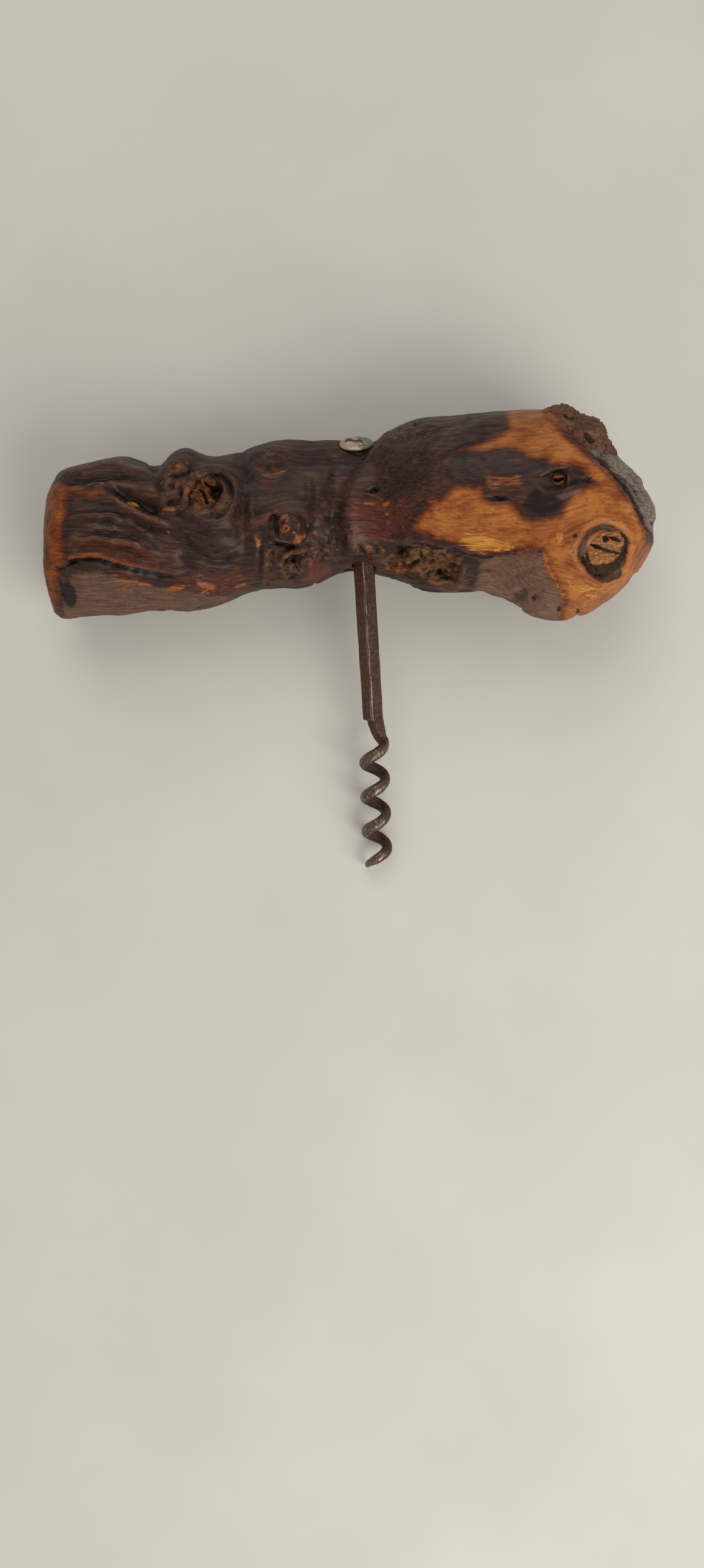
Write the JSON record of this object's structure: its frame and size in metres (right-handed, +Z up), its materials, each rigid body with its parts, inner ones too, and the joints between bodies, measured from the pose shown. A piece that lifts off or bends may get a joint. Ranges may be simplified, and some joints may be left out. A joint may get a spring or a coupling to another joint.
{
  "type": "corkscrew",
  "caption": "Direct-pull T corkscrew: a gnarled vine-root handle drilled across for a square steel shank drawn down to a wire worm, held by a hammered washer over its tang.",
  "frame": {"origin": "under the middle of the whole corkscrew's box, on the surface that it lies on", "axes": "+X along the handle to its thick end, +Y from the worm towards the handle, +Z up from the surface that it lies on"},
  "size_m": [0.1588, 0.1224, 0.05],
  "materials": {
    "vine_wood": "dark oiled and varnished vine root, honey brown where the bark side is worn away",
    "knot_wood": "dry tan dead wood with cracks, hardly varnished",
    "worn_steel": "forged steel gone brown with thin rust, rubbed bright on the worm and the shank's corners",
    "white_metal": "hammered soft white metal, dull and dented"
  },
  "bodies": {
    "root": {"vine_handle": "vine_wood", "large_knot": "knot_wood", "crumbled_knot": "knot_wood", "eye_knot": "knot_wood", "forged_screw": "worn_steel", "top_washer": "white_metal"}
  },
  "joints": []
}
